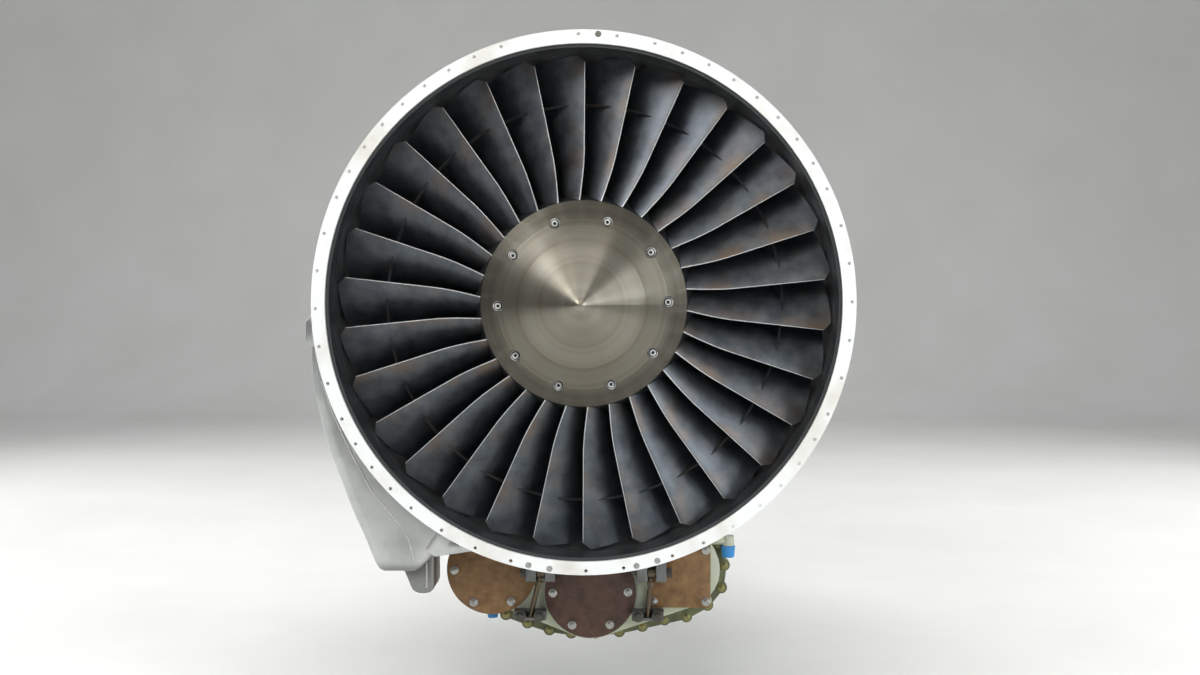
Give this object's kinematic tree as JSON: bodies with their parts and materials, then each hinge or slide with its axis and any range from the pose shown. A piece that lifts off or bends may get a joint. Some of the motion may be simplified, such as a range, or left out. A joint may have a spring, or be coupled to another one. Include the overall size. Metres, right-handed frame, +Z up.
{
  "type": "turbofan jet engine",
  "caption": "Geared-fan jet engine with a bare inlet flange, pointed spinner, wide fan, side oil tank and underslung accessory gearbox with covered drive pads.",
  "frame": {"origin": "centre of the inlet flange's front face, on the engine axis", "axes": "+Y aft along the engine axis, +Z up, +X to the right as seen from the front"},
  "size_m": [0.8072, 1.2918, 0.9036],
  "materials": {
    "white_paint": "satin white enamel on the inlet flange and cases",
    "black_liner": "matt black filled liner",
    "blade_titanium": "dark worn titanium",
    "spun_alloy": "turned and polished aluminium",
    "cast_alloy": "cast and machined alloy",
    "gear_steel": "ground gear steel",
    "heat_steel": "heat-coloured nickel alloy",
    "sheet_alloy": "formed and welded sheet alloy",
    "green_magnesium": "pale green treated magnesium casting",
    "tan_cover": "tan-brown blanking plate",
    "dark_cover": "dark brown blanking plate",
    "bolt_steel": "plated steel fasteners",
    "dark_steel": "dark oxidised steel",
    "blue_cap": "blue moulded cap"
  },
  "bodies": {
    "casings": {"fan_case": "white_paint", "fan_liner": "black_liner", "case_bolts": "bolt_steel", "bypass_vanes": "cast_alloy", "fan_frame": "cast_alloy", "core_inlet_vanes": "cast_alloy", "gear_housing": "cast_alloy", "bearing_outer_rings": "bolt_steel", "gear_carrier": "gear_steel", "lp_compressor_case": "cast_alloy", "lp_compressor_vanes": "cast_alloy", "interstage_duct": "cast_alloy", "impeller_shroud": "cast_alloy", "diffuser": "cast_alloy", "plenum_case": "heat_steel", "combustor_liner": "heat_steel", "fuel_nozzles": "bolt_steel", "fuel_manifold": "bolt_steel", "igniter_plugs": "bolt_steel", "high_pressure_nozzle": "heat_steel", "lp_turbine_case": "heat_steel", "exhaust_frame": "heat_steel", "core_nozzle": "heat_steel", "tail_cone": "heat_steel", "bypass_duct_outer": "sheet_alloy", "bypass_duct_inner": "sheet_alloy", "mount_pads": "cast_alloy", "radial_drive_housing": "cast_alloy", "oil_tank": "sheet_alloy", "tank_sump": "sheet_alloy", "tank_brackets": "sheet_alloy", "oil_tubes": "sheet_alloy", "protective_caps": "blue_cap", "gearbox_front_housing": "green_magnesium", "gearbox_rear_housing": "green_magnesium", "gearbox_bolts": "bolt_steel", "left_pad_cover": "tan_cover", "centre_pad_cover": "dark_cover", "right_pad_cover": "tan_cover", "pad_cover_bolts": "bolt_steel", "gearbox_links": "dark_steel", "link_brackets": "dark_steel", "link_bolts": "dark_steel"},
    "fan_rotor": {"spinner": "spun_alloy", "spinner_bolts": "bolt_steel", "fan_disk": "blade_titanium", "fan_blades": "blade_titanium", "fan_shaft": "gear_steel", "ring_gear": "gear_steel"},
    "bearing_cages": {"fan_bearing_rollers": "bolt_steel"},
    "planet_1": {"planet_gear_1": "gear_steel"},
    "planet_2": {"planet_gear_2": "gear_steel"},
    "planet_3": {"planet_gear_3": "gear_steel"},
    "planet_4": {"planet_gear_4": "gear_steel"},
    "planet_5": {"planet_gear_5": "gear_steel"},
    "low_pressure_spool": {"lp_shaft": "gear_steel", "lp_compressor_rotor": "gear_steel", "lp_turbine_rotor": "heat_steel"},
    "high_pressure_spool": {"impeller": "gear_steel", "high_pressure_turbine": "heat_steel"}
  },
  "joints": [
    {"name": "fan_spin", "type": "hinge", "parent": "casings", "child": "fan_rotor", "pos_m": [0, 0, 0], "axis": [0, 1, 0], "continuous": true},
    {"name": "cage_spin", "type": "hinge", "parent": "casings", "child": "bearing_cages", "pos_m": [0, 0, 0], "axis": [0, 1, 0], "continuous": true},
    {"name": "planet_1_spin", "type": "hinge", "parent": "casings", "child": "planet_1", "pos_m": [0.07, 0.243, 0], "axis": [0, 1, 0], "continuous": true},
    {"name": "planet_2_spin", "type": "hinge", "parent": "casings", "child": "planet_2", "pos_m": [0.02163, 0.243, -0.06657], "axis": [0, 1, 0], "continuous": true},
    {"name": "planet_3_spin", "type": "hinge", "parent": "casings", "child": "planet_3", "pos_m": [-0.05663, 0.243, -0.04115], "axis": [0, 1, 0], "continuous": true},
    {"name": "planet_4_spin", "type": "hinge", "parent": "casings", "child": "planet_4", "pos_m": [-0.05663, 0.243, 0.04115], "axis": [0, 1, 0], "continuous": true},
    {"name": "planet_5_spin", "type": "hinge", "parent": "casings", "child": "planet_5", "pos_m": [0.02163, 0.243, 0.06657], "axis": [0, 1, 0], "continuous": true},
    {"name": "low_pressure_spin", "type": "hinge", "parent": "casings", "child": "low_pressure_spool", "pos_m": [0, 0, 0], "axis": [0, 1, 0], "continuous": true},
    {"name": "high_pressure_spin", "type": "hinge", "parent": "casings", "child": "high_pressure_spool", "pos_m": [0, 0, 0], "axis": [0, 1, 0], "continuous": true}
  ],
  "couplings": [
    {"joint": "cage_spin", "follows": "fan_spin", "ratio": 0.47},
    {"joint": "planet_1_spin", "follows": "fan_spin", "ratio": 4.5},
    {"joint": "planet_2_spin", "follows": "fan_spin", "ratio": 4.5},
    {"joint": "planet_3_spin", "follows": "fan_spin", "ratio": 4.5},
    {"joint": "planet_4_spin", "follows": "fan_spin", "ratio": 4.5},
    {"joint": "planet_5_spin", "follows": "fan_spin", "ratio": 4.5},
    {"joint": "low_pressure_spin", "follows": "fan_spin", "ratio": -1.8}
  ]
}
